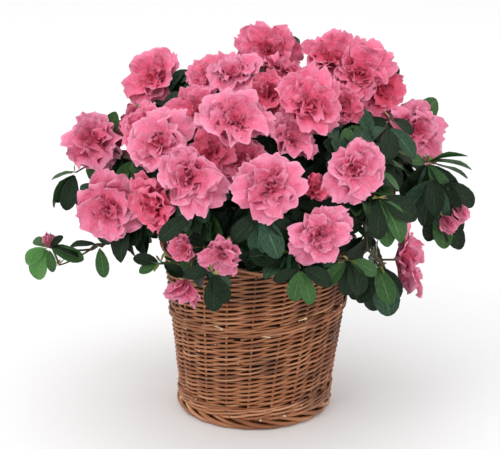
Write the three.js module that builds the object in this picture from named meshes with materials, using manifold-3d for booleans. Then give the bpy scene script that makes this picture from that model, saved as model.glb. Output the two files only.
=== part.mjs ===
// Azalea shrub in a wicker basket. Millimetres, +Z up, +X the plant's right seen from its front (-Y).
// The origin is the centre of the basket's flat underside, from which the woven wall leans a little.
// The shrub has a short flared stem on the potting soil, boughs that fan out from it, and a shell of
// foliage masses round an open heart.

import * as THREE from 'three';
import { mergeVertices } from 'three/addons/utils/BufferGeometryUtils.js';
import Module from 'manifold-3d';

// Basket
const BASKET_HEIGHT = 178;
const FOOT_RADIUS = 76;
const MOUTH_RADIUS = 98;
const WALL_THICKNESS = 7;
const FOOT_BORDER_HEIGHT = 10;
const RIM_BORDER_HEIGHT = 12;
const BORDER_PROUD = 2;
const BASE_THICKNESS = 8;
const BASKET_LEAN = 0.028; // towards +X, for each unit of height
const BASKET_SIDES = 32;

// Soil and stem
const SOIL_BELOW_RIM = 24;
const STEM_HEIGHT = 46;
const STEM_RADIUS = 9;
const STEM_TAPER = 0.3;
const STEM_LEAN = 8;
const ROOT_FLARE = 9;
const ROOT_LOBES = 3;
const LOBE_DEPTH = 0.25;
const STEM_FACETS = { sides: 12, steps: 5 };

// Crown: an ellipsoid about the heart, which the tips of the masses reach
const HEART = new THREE.Vector3(5, 0, 215);
const CROWN_HALF_WIDTH = 198;
const CROWN_HALF_DEPTH = 186;
const CROWN_RISE = 178;

// Masses: blobs with two swellings each, given by how often they rise across, up and outwards
const UNEVENNESS = 0.09;
const WIDE_SWELLING = { across: 3.1, up: 2.7, weight: 1 };
const CLOSE_SWELLING = { outwards: 4.3, up: 3.7, weight: 0.6 };
const SWELLING_SHIFT = 1.7;
const BLOB_DETAIL = 3;

// Limbs. A main bough leaves the stem at one of two shares of its height, runs out and up to its
// bend, and forks at a share of its length, each further fork a step later.
const MAIN_BOUGH_RADIUS = 5.5;
const SIDE_BOUGH_RADIUS = 3.8;
const BOUGH_TAPER = 0.5;
const BOUGH_ENTRY = 9;
const BOUGH_STARTS = [0.62, 0.92];
const BEND_OUT = 40;
const BEND_UP = 42;
const FORK_AT = 0.42;
const FORK_STEP = 0.14;
const FORK_BEND_AT = 0.45;
const FORK_BEND_OUT = 16;
const BOUGH_FACETS = { sides: 6, steps: 4 };

// Clearance between neighbouring pieces
const GAP = 0.3;

// Each mass: the direction of its middle from the heart in degrees, azimuth from the front towards +X
// and lift from the horizontal; how far its tip stands out, 1 being the ellipsoid; and its half sizes,
// across, tall and deep.
const MASSES = {
  crown_top_back: { azimuth: 176, lift: 74, reach: 1.01, half: [50, 52, 32] },
  crown_top_front: { azimuth: -26, lift: 67, reach: 0.95, half: [54, 48, 34] },
  upper_left: { azimuth: -102, lift: 46, reach: 1.01, half: [44, 42, 36] },
  upper_front: { azimuth: -10, lift: 44, reach: 0.98, half: [52, 42, 34] },
  upper_front_right: { azimuth: 38, lift: 53, reach: 0.97, half: [50, 44, 34] },
  upper_right: { azimuth: 118, lift: 48, reach: 1.06, half: [60, 58, 36] },
  upper_back_left: { azimuth: -156, lift: 38, reach: 0.96, half: [60, 50, 36] },
  upper_back_right: { azimuth: 162, lift: 38, reach: 0.98, half: [58, 50, 36] },
  left_side: { azimuth: -94, lift: 18, reach: 1.05, half: [58, 36, 36] },
  shoulder_left: { azimuth: -50, lift: 38, reach: 1.0, half: [46, 40, 34] },
  front_left: { azimuth: -28, lift: 18, reach: 1.01, half: [46, 42, 36] },
  front_centre: { azimuth: 6, lift: 21, reach: 1.0, half: [48, 42, 34] },
  front_right: { azimuth: 40, lift: 22, reach: 1.01, half: [46, 42, 36] },
  shoulder_right: { azimuth: 70, lift: 32, reach: 0.97, half: [46, 42, 34] },
  right_side: { azimuth: 100, lift: 21, reach: 1.03, half: [46, 40, 36] },
  back_right: { azimuth: 134, lift: 14, reach: 0.99, half: [58, 48, 36] },
  back_centre: { azimuth: 177, lift: 10, reach: 0.99, half: [60, 48, 36] },
  back_left: { azimuth: -134, lift: 14, reach: 1.0, half: [64, 48, 36] },
  lower_left: { azimuth: -62, lift: 5, reach: 1.0, half: [48, 44, 34] },
  lower_front_left: { azimuth: -22, lift: -8, reach: 0.98, half: [46, 36, 32] },
  lower_front: { azimuth: 13, lift: -2, reach: 0.97, half: [50, 40, 32] },
  lower_front_right: { azimuth: 48, lift: -9, reach: 0.97, half: [46, 40, 32] },
  right_tuft: { azimuth: 86, lift: 0, reach: 1.1, half: [40, 40, 34] },
  lower_right_spray: { azimuth: 61, lift: -21, reach: 0.98, half: [32, 40, 24] },
  lower_back_right: { azimuth: 126, lift: -10, reach: 0.97, half: [54, 36, 32] },
  lower_back: { azimuth: 166, lift: -12, reach: 0.95, half: [54, 34, 32] },
  lower_back_left: { azimuth: -156, lift: -11, reach: 0.96, half: [54, 34, 32] },
  lower_left_back: { azimuth: -112, lift: -6, reach: 0.94, half: [54, 40, 34] },
  left_arm_spray: { azimuth: -84, lift: -15, reach: 1.25, half: [26, 20, 46] },
};

// Each main bough leaves the stem for one mass, and forks to masses beside that one. The few masses
// without a bough of their own lie against their neighbours.
const BOUGHS = {
  left_side: ['upper_left', 'left_arm_spray'],
  front_left: ['shoulder_left', 'lower_front_left', 'lower_left'],
  front_centre: ['upper_front', 'crown_top_front', 'lower_front'],
  front_right: ['upper_front_right'],
  right_side: ['right_tuft', 'lower_right_spray'],
  back_right: ['upper_right', 'lower_back_right'],
  back_centre: ['crown_top_back'],
  back_left: ['upper_back_left', 'lower_back_left'],
};

const WILLOW = new THREE.MeshStandardMaterial({ color: 0x8a5a33, roughness: 0.65, metalness: 0 });
const PALE_WILLOW = new THREE.MeshStandardMaterial({ color: 0x9c6a3c, roughness: 0.65, metalness: 0 });
const PEAT = new THREE.MeshStandardMaterial({ color: 0x2e2119, roughness: 0.95, metalness: 0 });
const BARK = new THREE.MeshStandardMaterial({ color: 0x5d4532, roughness: 0.9, metalness: 0 });
const BLOSSOM = new THREE.MeshStandardMaterial({ color: 0xdc6f96, roughness: 0.7, metalness: 0 });
const LEAF = new THREE.MeshStandardMaterial({ color: 0x2c4a2c, roughness: 0.6, metalness: 0 });
const LEAFY_MASSES = ['left_arm_spray', 'right_tuft', 'lower_right_spray'];

const wasm = await Module();
wasm.setup();

const shrub = new THREE.Group();

function addPiece(name, geometry, material) {
  const mesh = new THREE.Mesh(geometry, material);
  mesh.name = name;
  shrub.add(mesh);
}

// A geometry reduced to shared positions, so that its surface is closed
function weld(geometry) {
  geometry.deleteAttribute('normal');
  geometry.deleteAttribute('uv');
  return mergeVertices(geometry, 1e-4);
}

function toSolid(geometry) {
  return new wasm.Manifold(new wasm.Mesh({
    numProp: 3,
    vertProperties: new Float32Array(geometry.attributes.position.array),
    triVerts: new Uint32Array(geometry.index.array),
  }));
}

function toGeometry(solid) {
  const { vertProperties, triVerts } = solid.getMesh();
  const geometry = new THREE.BufferGeometry();
  geometry.setAttribute('position', new THREE.BufferAttribute(vertProperties, 3));
  geometry.setIndex(new THREE.BufferAttribute(triVerts, 1));
  return geometry;
}

// The largest of the bodies that a cut leaves
function largestBody(solid) {
  const bodies = solid.decompose();
  return bodies.reduce((best, body) => (body.volume() > best.volume() ? body : best));
}

// A closed ring turned about Z from its corners [radius, height], counter-clockwise with Z up, then
// leaned towards +X as the basket leans
function turned(corners) {
  const outline = [...corners, corners[0]].map(([radius, height]) => new THREE.Vector2(radius, height));
  const lean = new THREE.Matrix4().makeShear(0, 0, 0, 0, BASKET_LEAN, 0);
  return weld(new THREE.LatheGeometry(outline, BASKET_SIDES)).rotateX(Math.PI / 2).applyMatrix4(lean);
}

// Basket: a tapered wall between a foot border and a rim border, round a flat base
function wallRadiusAt(height) {
  return FOOT_RADIUS + (MOUTH_RADIUS - FOOT_RADIUS) * (height / BASKET_HEIGHT);
}

function borderRing(bottom, top) {
  const outer = [wallRadiusAt(bottom) + BORDER_PROUD, wallRadiusAt(top) + BORDER_PROUD];
  const inner = [wallRadiusAt(bottom) - WALL_THICKNESS, wallRadiusAt(top) - WALL_THICKNESS];
  return turned([[inner[0], bottom], [outer[0], bottom], [outer[1], top], [inner[1], top]]);
}

function makeBasket() {
  const wallBottom = FOOT_BORDER_HEIGHT + GAP;
  const wallTop = BASKET_HEIGHT - RIM_BORDER_HEIGHT - GAP;
  addPiece('basket_foot_border', borderRing(0, FOOT_BORDER_HEIGHT), PALE_WILLOW);
  addPiece('basket_wall', turned([
    [wallRadiusAt(wallBottom) - WALL_THICKNESS, wallBottom],
    [wallRadiusAt(wallBottom), wallBottom],
    [wallRadiusAt(wallTop), wallTop],
    [wallRadiusAt(wallTop) - WALL_THICKNESS, wallTop],
  ]), WILLOW);
  addPiece('basket_rim_border', borderRing(BASKET_HEIGHT - RIM_BORDER_HEIGHT, BASKET_HEIGHT), PALE_WILLOW);
  const baseRadius = wallRadiusAt(0) - WALL_THICKNESS - GAP;
  addPiece('basket_base', turned([
    [0, 0],
    [baseRadius, 0],
    [baseRadius, BASE_THICKNESS],
    [0, BASE_THICKNESS],
  ]), WILLOW);
}

// Soil: fills the basket from its base to a little below the rim, with a level top round the stem
const SOIL_TOP = BASKET_HEIGHT - SOIL_BELOW_RIM;

function makeSoil() {
  const bottom = BASE_THICKNESS + GAP;
  const clearOfWall = WALL_THICKNESS + GAP * 1.5;
  addPiece('potting_soil', turned([
    [0, bottom],
    [wallRadiusAt(bottom) - clearOfWall, bottom],
    [wallRadiusAt(SOIL_TOP) - clearOfWall, SOIL_TOP],
    [0, SOIL_TOP],
  ]), PEAT);
}

// A limb: a cylinder bent along a curve, its radius given at each share of its length. Growing it
// widens and lengthens it, which makes the room that its neighbours leave for it.
function limb(curve, radiusAt, { sides, steps, grow = 0 }) {
  const geometry = weld(new THREE.CylinderGeometry(1, 1, 1, sides, steps));
  const frames = curve.computeFrenetFrames(steps);
  const position = geometry.attributes.position;
  const vertex = new THREE.Vector3();
  for (let i = 0; i < position.count; i += 1) {
    vertex.fromBufferAttribute(position, i);
    const share = vertex.y + 0.5;
    const step = Math.round(share * steps);
    const radius = radiusAt(share, Math.atan2(vertex.x, vertex.z)) + grow;
    const end = (step === steps ? grow : 0) - (step === 0 ? grow : 0);
    const place = curve.getPointAt(share)
      .addScaledVector(frames.binormals[step], vertex.x * radius)
      .addScaledVector(frames.normals[step], vertex.z * radius)
      .addScaledVector(frames.tangents[step], end);
    position.setXYZ(i, place.x, place.y, place.z);
  }
  return toSolid(geometry);
}

// Stem: a short tapering trunk with root flare and a slight lean, cut flat where it meets the soil
const STEM_FOOT = new THREE.Vector3(SOIL_TOP * BASKET_LEAN, 0, SOIL_TOP + GAP);
const STEM_TOP = STEM_FOOT.clone().add(new THREE.Vector3(STEM_LEAN, 0, STEM_HEIGHT));

function stemSolid(grow) {
  const rise = new THREE.Vector3(0, 0, STEM_HEIGHT / 2);
  const curve = new THREE.QuadraticBezierCurve3(STEM_FOOT, STEM_FOOT.clone().add(rise), STEM_TOP);
  const radiusAt = (share, turn) => {
    const flare = ROOT_FLARE * (1 - share) ** 3 * (1 + LOBE_DEPTH * Math.sin(ROOT_LOBES * turn + 1));
    return STEM_RADIUS * (1 - STEM_TAPER * share) + flare;
  };
  return limb(curve, radiusAt, { ...STEM_FACETS, grow });
}

// Crown directions and the places of its masses
function directionOf({ azimuth, lift }) {
  const turn = THREE.MathUtils.degToRad(azimuth);
  const rise = THREE.MathUtils.degToRad(lift);
  return new THREE.Vector3(
    Math.sin(turn) * Math.cos(rise),
    -Math.cos(turn) * Math.cos(rise),
    Math.sin(rise),
  );
}

function tipDistance(mass) {
  const direction = directionOf(mass);
  const stretched = new THREE.Vector3(
    direction.x / CROWN_HALF_WIDTH,
    direction.y / CROWN_HALF_DEPTH,
    direction.z / CROWN_RISE,
  );
  return mass.reach / stretched.length();
}

function placeOf(mass, depthBelowTip) {
  return HEART.clone().addScaledVector(directionOf(mass), tipDistance(mass) - depthBelowTip);
}

// An uneven closed blob about a mass's middle, its swellings its own
function foliageBlob(mass, index) {
  const [across, tall, deep] = mass.half;
  const outward = directionOf(mass);
  const sideways = new THREE.Vector3(0, 0, 1).cross(outward).normalize();
  const upward = outward.clone().cross(sideways);
  const middle = placeOf(mass, deep);
  const geometry = weld(new THREE.OctahedronGeometry(1, BLOB_DETAIL));
  const position = geometry.attributes.position;
  const vertex = new THREE.Vector3();
  const shift = SWELLING_SHIFT * index;
  for (let i = 0; i < position.count; i += 1) {
    vertex.fromBufferAttribute(position, i);
    const wide = WIDE_SWELLING.weight * Math.sin(WIDE_SWELLING.across * vertex.y + shift)
      * Math.cos(WIDE_SWELLING.up * vertex.z - shift);
    const close = CLOSE_SWELLING.weight * Math.sin(
      CLOSE_SWELLING.outwards * vertex.x + CLOSE_SWELLING.up * vertex.z + 2 * shift,
    );
    vertex.multiplyScalar(1 + UNEVENNESS * (wide + close));
    const place = middle.clone()
      .addScaledVector(outward, vertex.x * deep)
      .addScaledVector(sideways, vertex.y * across)
      .addScaledVector(upward, vertex.z * tall);
    position.setXYZ(i, place.x, place.y, place.z);
  }
  return { geometry, middle, solid: toSolid(geometry) };
}

// How far a blob reaches from its middle along a direction
function supportOf(blob, direction) {
  const position = blob.geometry.attributes.position;
  const vertex = new THREE.Vector3();
  let support = 0;
  for (let i = 0; i < position.count; i += 1) {
    vertex.fromBufferAttribute(position, i).sub(blob.middle);
    support = Math.max(support, vertex.dot(direction));
  }
  return support;
}

// Two blobs that run into each other are parted by a plane between them, in the ratio of their reach
function partBlobs(one, other) {
  if (one.solid.intersect(other.solid).isEmpty()) {
    return;
  }
  const normal = one.middle.clone().sub(other.middle);
  const distance = normal.length();
  normal.normalize();
  const reachOther = supportOf(other, normal);
  const reachOne = supportOf(one, normal.clone().negate());
  const parting = other.middle.dot(normal) + distance * (reachOther / (reachOther + reachOne));
  one.cuts.push({ normal, offset: parting + GAP / 2 });
  other.cuts.push({ normal: normal.clone().negate(), offset: -parting + GAP / 2 });
}

// Limbs: the stem, then each main bough with its forks; each is cut back where it leaves an older one
function makeLimbs() {
  const limbs = [{ name: 'stem', solid: stemSolid(0), room: stemSolid(GAP) }];

  function addBough(name, curve, radius) {
    const radiusAt = (share) => radius * (1 - BOUGH_TAPER * share);
    let solid = limb(curve, radiusAt, BOUGH_FACETS);
    for (const older of limbs) {
      solid = solid.subtract(older.room);
    }
    const room = limb(curve, radiusAt, { ...BOUGH_FACETS, grow: GAP });
    limbs.push({ name, solid: largestBody(solid), room });
  }

  Object.entries(BOUGHS).forEach(([target, forks], index) => {
    const mass = MASSES[target];
    const end = placeOf(mass, 2 * mass.half[2] - BOUGH_ENTRY);
    const start = STEM_FOOT.clone().lerp(STEM_TOP, BOUGH_STARTS[index % 2]);
    const level = directionOf({ azimuth: mass.azimuth, lift: 0 });
    const bend = start.clone().addScaledVector(level, BEND_OUT).add(new THREE.Vector3(0, 0, BEND_UP));
    const curve = new THREE.QuadraticBezierCurve3(start, bend, end);
    addBough(`bough_to_${target}`, curve, MAIN_BOUGH_RADIUS);
    forks.forEach((fork, step) => {
      const side = MASSES[fork];
      const sideEnd = placeOf(side, 2 * side.half[2] - BOUGH_ENTRY);
      const share = FORK_AT + FORK_STEP * step;
      const sideStart = curve.getPointAt(share);
      const sideBend = sideStart.clone()
        .lerp(sideEnd, FORK_BEND_AT)
        .addScaledVector(curve.getTangentAt(share), FORK_BEND_OUT);
      const sideCurve = new THREE.QuadraticBezierCurve3(sideStart, sideBend, sideEnd);
      addBough(`side_bough_to_${fork}`, sideCurve, SIDE_BOUGH_RADIUS);
    });
  });
  return limbs;
}

// Masses: parted from each other, then opened where a limb enters them
function makeMasses(limbs) {
  const blobs = Object.entries(MASSES).map(([name, mass], index) => (
    { name, cuts: [], ...foliageBlob(mass, index) }
  ));
  blobs.forEach((blob, index) => {
    blobs.slice(index + 1).forEach((other) => partBlobs(blob, other));
  });
  for (const blob of blobs) {
    let solid = blob.solid;
    for (const { normal, offset } of blob.cuts) {
      solid = solid.trimByPlane(normal.toArray(), offset);
    }
    for (const { room } of limbs) {
      solid = solid.subtract(room);
    }
    const material = LEAFY_MASSES.includes(blob.name) ? LEAF : BLOSSOM;
    addPiece(blob.name, toGeometry(largestBody(solid)), material);
  }
}

makeBasket();
makeSoil();
const limbs = makeLimbs();
for (const { name, solid } of limbs) {
  addPiece(name, toGeometry(solid), BARK);
}
makeMasses(limbs);

export default shrub;
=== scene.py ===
import math
import random

import bmesh
import bpy
import numpy as np
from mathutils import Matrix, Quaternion, Vector, noise
from mathutils.bvhtree import BVHTree


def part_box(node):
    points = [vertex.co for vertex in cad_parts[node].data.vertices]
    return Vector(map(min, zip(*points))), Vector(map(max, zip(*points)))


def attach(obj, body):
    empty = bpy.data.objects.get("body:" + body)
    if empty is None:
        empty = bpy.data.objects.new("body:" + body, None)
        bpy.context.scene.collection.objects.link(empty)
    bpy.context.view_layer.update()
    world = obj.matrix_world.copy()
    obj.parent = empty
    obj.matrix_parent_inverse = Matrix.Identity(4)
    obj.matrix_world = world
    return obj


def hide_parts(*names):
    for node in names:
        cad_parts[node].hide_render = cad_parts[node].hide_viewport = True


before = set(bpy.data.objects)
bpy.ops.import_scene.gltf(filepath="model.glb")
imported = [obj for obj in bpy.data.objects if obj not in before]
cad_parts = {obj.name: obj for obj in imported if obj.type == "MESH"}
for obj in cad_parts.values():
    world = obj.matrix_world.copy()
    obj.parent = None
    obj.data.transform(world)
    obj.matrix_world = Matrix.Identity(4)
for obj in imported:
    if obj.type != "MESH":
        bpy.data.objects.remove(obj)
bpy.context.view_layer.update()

# Studio. A plain pale floor runs far out under a pale sky. A broad soft light stands at the front,
# up and to the left, a weaker one fills from the right, and one hangs overhead.
FLOOR_RADIUS = 9.0
FLOOR_SHADES = (0.9, 0.91)
SKY_STRENGTH = 1.03
LIGHTS = {
    "key": {"place": (-1.3, -1.6, 2.0), "size": 1.1, "power": 15},
    "fill": {"place": (1.9, -1.5, 0.7), "size": 1.6, "power": 8},
    "overhead": {"place": (0.1, 0.3, 2.2), "size": 1.6, "power": 5},
}
CAMERA_ELEVATION = math.radians(17.8)
CAMERA_DISTANCE = 1.6
VIEW_WIDTH = 0.5
SENSOR_WIDTH = 36.0
AIM = Vector((-0.0042, -0.003, 0.1908))


def colour(red, green, blue):
    """A shader colour from the red, green and blue, 0 to 255, that it should look."""
    shares = [value / 255 for value in (red, green, blue)]
    linear = [s / 12.92 if s <= 0.04045 else ((s + 0.055) / 1.055) ** 2.4 for s in shares]
    return (*linear, 1.0)


class Wire:
    """A socket in a material. Arithmetic on it adds Math nodes, and add() any other node."""

    def __init__(self, tree, socket=None):
        self.tree = tree
        self.socket = socket

    def add(self, kind, settings=None, inputs=None, output=0):
        node = self.tree.nodes.new(kind)
        for name, value in (settings or {}).items():
            if name == "stops":
                ramp = node.color_ramp.elements
                while len(ramp) < len(value):
                    ramp.new(1.0)
                for element, (position, shade) in zip(ramp, value):
                    element.position = position
                    element.color = shade
            else:
                setattr(node, name, value)
        for name, value in (inputs or {}).items():
            if isinstance(value, Wire):
                self.tree.links.new(value.socket, node.inputs[name])
            else:
                node.inputs[name].default_value = value
        return Wire(self.tree, node.outputs[output])

    def math(self, operation, *values, clamp=False):
        settings = {"operation": operation, "use_clamp": clamp}
        return self.add("ShaderNodeMath", settings, dict(enumerate(values)))

    def mix(self, share, first, second):
        inputs = {0: share, 6: first, 7: second}
        return self.add("ShaderNodeMix", {"data_type": "RGBA"}, inputs, output=2)

    def own_place(self):
        return self.add("ShaderNodeTexCoord", output=3)

    def noise(self, place, scale, detail):
        inputs = {"Vector": place, "Scale": scale, "Detail": detail}
        return self.add("ShaderNodeTexNoise", None, inputs)

    def split(self, axis):
        return self.add("ShaderNodeSeparateXYZ", None, {0: self}, output="XYZ".index(axis))

    def __add__(self, other):
        return self.math("ADD", self, other)

    __radd__ = __add__

    def __mul__(self, other):
        return self.math("MULTIPLY", self, other)

    __rmul__ = __mul__

    def __sub__(self, other):
        return self.math("SUBTRACT", self, other)

    def __rsub__(self, other):
        return self.math("SUBTRACT", other, self)

    def __truediv__(self, other):
        return self.math("DIVIDE", self, other)

    def __pow__(self, other):
        return self.math("POWER", self, other)


def new_finish(name, paint, roughness=0.5, specular=0.5):
    """A material whose paint, a function of a wire, gives its colour and what else varies."""
    material = bpy.data.materials.new(name)
    material.use_nodes = True
    tree = material.node_tree
    shader = tree.nodes["Principled BSDF"]
    shader.inputs["Roughness"].default_value = roughness
    shader.inputs["Specular IOR Level"].default_value = specular
    wire = Wire(tree)
    painted = paint(wire)
    if "relief" in painted:
        height, depth = painted.pop("relief")
        inputs = {"Height": height, "Distance": depth, "Strength": 1.0}
        painted["Normal"] = wire.add("ShaderNodeBump", None, inputs)
    for socket, value in painted.items():
        tree.links.new(value.socket, shader.inputs[socket])
    return material


def new_object(name, data):
    """A new object that shows the data in the scene."""
    item = bpy.data.objects.new(name, data)
    bpy.context.scene.collection.objects.link(item)
    return item


def floor_paint(wire):
    mottle = wire.noise(wire.own_place(), 3.0, 2.0)
    pale, paler = [(shade, shade, shade, 1.0) for shade in FLOOR_SHADES]
    return {"Base Color": wire.mix(mottle, pale, paler)}


floor_mesh = bpy.data.meshes.new("floor")
bm = bmesh.new()
bmesh.ops.create_circle(bm, cap_ends=True, segments=96, radius=FLOOR_RADIUS)
bm.to_mesh(floor_mesh)
bm.free()
floor_mesh.materials.append(new_finish("pale_floor", floor_paint, roughness=0.9))
floor = new_object("floor", floor_mesh)

sky = bpy.data.worlds.new("pale_sky")
sky.use_nodes = True
sky.node_tree.nodes["Background"].inputs["Color"].default_value = (1.0, 1.0, 1.0, 1.0)
sky.node_tree.nodes["Background"].inputs["Strength"].default_value = SKY_STRENGTH
bpy.context.scene.world = sky
for name, light in LIGHTS.items():
    lamp = bpy.data.lights.new(name, "AREA")
    lamp.size = light["size"]
    lamp.energy = light["power"]
    stand = new_object(name, lamp)
    stand.location = light["place"]
    stand.rotation_euler = (AIM - stand.location).to_track_quat("-Z", "Y").to_euler()

camera_data = bpy.data.cameras.new("camera")
camera_data.sensor_width = SENSOR_WIDTH
camera_data.lens = SENSOR_WIDTH * CAMERA_DISTANCE / VIEW_WIDTH
camera = new_object("camera", camera_data)
back = Vector((0, -math.cos(CAMERA_ELEVATION), math.sin(CAMERA_ELEVATION)))
camera.location = AIM + back * CAMERA_DISTANCE
camera.rotation_euler = (math.pi / 2 - CAMERA_ELEVATION, 0, 0)
bpy.context.scene.camera = camera
bpy.context.scene.view_settings.view_transform = "Standard"

# Basket wall. Brown-stained willow: upright stakes, a thin weaver from every stake that climbs as it
# passes in front of one stake and behind the next, and bands of three-rod waling at the foot and at
# mid height, where the pale cut butts of the rods show. The weave has pulled the stakes a little round.
wall_low, wall_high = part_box("basket_wall")
rim_low, rim_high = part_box("basket_rim_border")
foot_low, foot_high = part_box("basket_foot_border")
wall_top_radius = (wall_high.y - wall_low.y) / 2
wall_taper = (rim_high.y - foot_high.y) / (rim_high.z - foot_high.z)
wall_lean = (rim_low.x + rim_high.x) / 2 / rim_high.z
STAKES = 21
STAKE_SHIFT = math.radians(-95.5)
STAKE_RADIUS = 0.0015
STAKE_TWIST = 0.45  # radians for each metre of height
WEAVER_RADIUS = 0.00134
WEAVER_SWING = 0.0026
WEAVER_LENGTH = 27.4  # in stakes passed
WEAVER_STEPS = 4  # for each stake passed
ROW_PITCH = 0.0025
ROW_RISE = 0.0060
WALE_RADIUS = 0.0014
WALE_SWING = 0.0025
WALE_PITCH = 0.0042
UPSETT_BOTTOM = 0.0130
UPSETT_ROUNDS = 3
WALE_BOTTOM = 0.1065
WALE_ROUNDS = 2
ROD_SIDES = 6
WEAVER_JOIN = 0.45  # a new weaver starts this far before the next whole stake
TAIL_FADE = 0.4  # in stakes
TAIL_OUT = 0.0012
TAIL_IN = 0.002
TAILS_SHOWN = 0.3
SPLIT_BUTTS = 0.4
BUTT_FROM = -0.0035
BUTT_REACH = (0.0035, 0.0052)
SHEET = "OFBake"


class Joined:
    """Many small things gathered as arrays and then made into one mesh.

    Each thing has vertices, four-sided faces, the places of their corners on the sheet that its
    finish is drawn on, and the number of that finish.
    """

    def __init__(self):
        self.vertices = []
        self.faces = []
        self.places = []
        self.finishes = []
        self.count = 0

    def add(self, vertices, faces, places, finishes):
        self.vertices.append(vertices)
        self.faces.append(faces + self.count)
        self.places.append(places)
        self.finishes.append(np.broadcast_to(finishes, len(faces)))
        self.count += len(vertices)

    def make(self, name, finishes):
        faces = np.concatenate(self.faces)
        mesh = bpy.data.meshes.new(name)
        mesh.vertices.add(self.count)
        mesh.vertices.foreach_set("co", np.concatenate(self.vertices).ravel())
        mesh.loops.add(faces.size)
        mesh.loops.foreach_set("vertex_index", faces.ravel())
        mesh.polygons.add(len(faces))
        mesh.polygons.foreach_set("loop_start", np.arange(0, faces.size, 4))
        mesh.polygons.foreach_set("material_index", np.concatenate(self.finishes))
        mesh.uv_layers.new(name=SHEET).data.foreach_set("uv", np.concatenate(self.places).ravel())
        for finish in finishes:
            mesh.materials.append(finish)
        mesh.update(calc_edges=True)
        mesh.shade_smooth()
        return new_object(name, mesh)


def add_rod(joined, path, radii, sides, patch, finishes=(0, 0), reference=(0, 0, 1)):
    """Adds a round rod along a path, drawn from a patch (left, bottom, width, height) of the sheet.

    It has an even number of sides. Its two ends are closed with the second finish, from the lower
    left corner of the sheet.
    """
    path = np.asarray(path, float)
    radii = np.broadcast_to(radii, len(path))
    along = np.gradient(path, axis=0)
    along /= np.linalg.norm(along, axis=1)[:, None]
    side = np.cross(along, reference)
    side /= np.maximum(np.linalg.norm(side, axis=1)[:, None], 1e-9)
    top = np.cross(side, along)
    turns = np.arange(sides) * 2 * math.pi / sides
    ring = np.cos(turns)[None, :, None] * side[:, None] + np.sin(turns)[None, :, None] * top[:, None]
    vertices = (path[:, None] + ring * radii[:, None, None]).reshape(-1, 3)
    step, corner = np.meshgrid(np.arange(len(path) - 1), np.arange(sides), indexing="ij")
    step, corner = step.ravel(), corner.ravel()
    after = (corner + 1) % sides
    faces = np.stack(
        [step * sides + corner, (step + 1) * sides + corner,
         (step + 1) * sides + after, step * sides + after], axis=1)
    left, bottom, width, height = patch
    u = left + width * np.stack([step, step + 1, step + 1, step], axis=1) / (len(path) - 1)
    v = bottom + height * np.stack([corner, corner, corner + 1, corner + 1], axis=1) / sides
    joined.add(vertices, faces, np.stack([u, v], axis=2), finishes[0])
    caps = [[0, k, k + 1, k + 2] for k in range(1, sides - 1, 2)]
    first = np.array(caps)
    last = np.array(caps)[:, ::-1] + (len(path) - 1) * sides
    round_place = 0.02 + 0.015 * np.stack([np.cos(turns), np.sin(turns)], axis=1)
    ends = np.concatenate([first, last])
    joined.add(np.zeros((0, 3)), ends - len(vertices), round_place[ends % sides], finishes[1])


def on_wall(turn, height, out):
    """Points at given turns round the basket, heights and distances out from the wall's face."""
    radius = wall_top_radius + wall_taper * (height - wall_high.z) + out
    turn = turn + STAKE_TWIST * height
    across = radius * np.cos(turn) + wall_lean * height
    return np.stack([across, radius * np.sin(turn), height + 0 * turn], axis=-1)


def strip_of_willow(rng, length):
    """A patch of the willow sheet for one rod, its width on the sheet going with its length."""
    width = min(0.9, 0.1 + length * 2.0)
    return (0.05 + rng.random() * (0.94 - width), 0.08 + rng.random() * 0.88, width, 0.03)


def row_height(turn, level):
    """The height of a weaver at a level, lifted towards +X between the foot and the rim."""
    share = np.clip((level - foot_high.z) / (rim_low.z - foot_high.z), 0, 1)
    wobble = 0.0004 * np.sin(5 * turn + 900 * level) + 0.0003 * np.sin(11 * turn - 400 * level)
    return level + np.sin(math.pi * share) * (ROW_RISE * np.cos(turn) + wobble)


def add_randing(joined, rng, bottom, top):
    """Adds a weaver from every stake, each climbing by one row at every stake that it passes."""
    rows = (top - bottom) / ROW_PITCH
    for weaver in range(STAKES):
        start = 0.0
        while start < rows - 1:
            end = min(start + WEAVER_LENGTH * rng.uniform(0.7, 1.2), rows)
            passed = np.arange(start, end, 1 / WEAVER_STEPS)
            turn = STAKE_SHIFT + (weaver + passed) * 2 * math.pi / STAKES
            level = bottom + passed * ROW_PITCH + rng.uniform(-0.0002, 0.0002)
            radii = WEAVER_RADIUS * rng.uniform(0.9, 1.1) * np.linspace(1.08, 0.9, len(passed))
            swing = WEAVER_SWING * np.cos(math.pi * passed)
            tail = np.exp(-(passed - start) / TAIL_FADE) + np.exp((passed - end) / TAIL_FADE)
            shows = rng.random() < TAILS_SHOWN
            out = swing - WEAVER_SWING - WEAVER_RADIUS + tail * (TAIL_OUT if shows else -TAIL_IN)
            path = on_wall(turn, row_height(turn, level), out)
            patch = strip_of_willow(rng, len(passed) * 0.007)
            add_rod(joined, path, radii, ROD_SIDES, patch, (0, 1))
            start = math.ceil(end) - WEAVER_JOIN


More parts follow.
